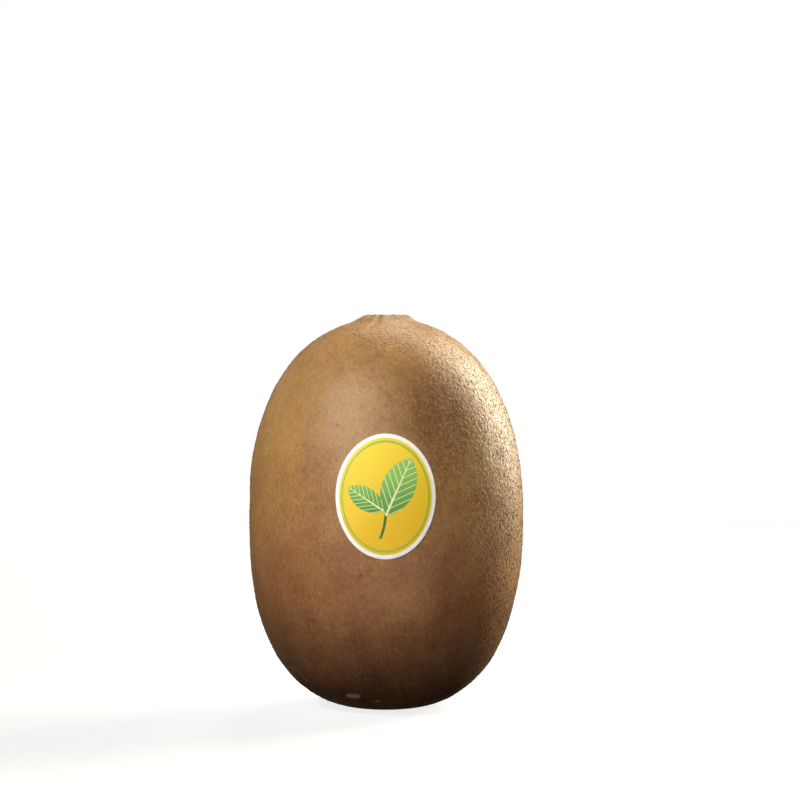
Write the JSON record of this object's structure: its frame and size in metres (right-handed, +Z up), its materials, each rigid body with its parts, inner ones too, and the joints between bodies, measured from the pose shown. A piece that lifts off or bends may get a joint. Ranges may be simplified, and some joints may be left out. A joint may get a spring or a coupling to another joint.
{
  "type": "golden kiwi fruit",
  "caption": "Whole oval golden kiwi fruit with smooth brown skin and a small yellow paper label, standing upright on its small flat blossom end.",
  "frame": {"origin": "middle of the flat foot at the blossom end, on the surface the fruit stands on", "axes": "+Z up along the fruit's axis towards the stem scar, -Y towards the label, +X to the right seen from the label's side"},
  "size_m": [0.0521, 0.0503, 0.0743],
  "materials": {
    "skin": "thin suede-like brown skin with fine speckles and a soft gloss",
    "label_paper": "printed coated paper, green leaves on yellow inside a white border",
    "stem_scar": "dry cracked cork, matt",
    "dried_flower": "dried threads, matt",
    "down": "short fine hairs, soft"
  },
  "bodies": {
    "root": {"kiwi_fruit": "skin", "fruit_label": "label_paper"}
  },
  "joints": []
}
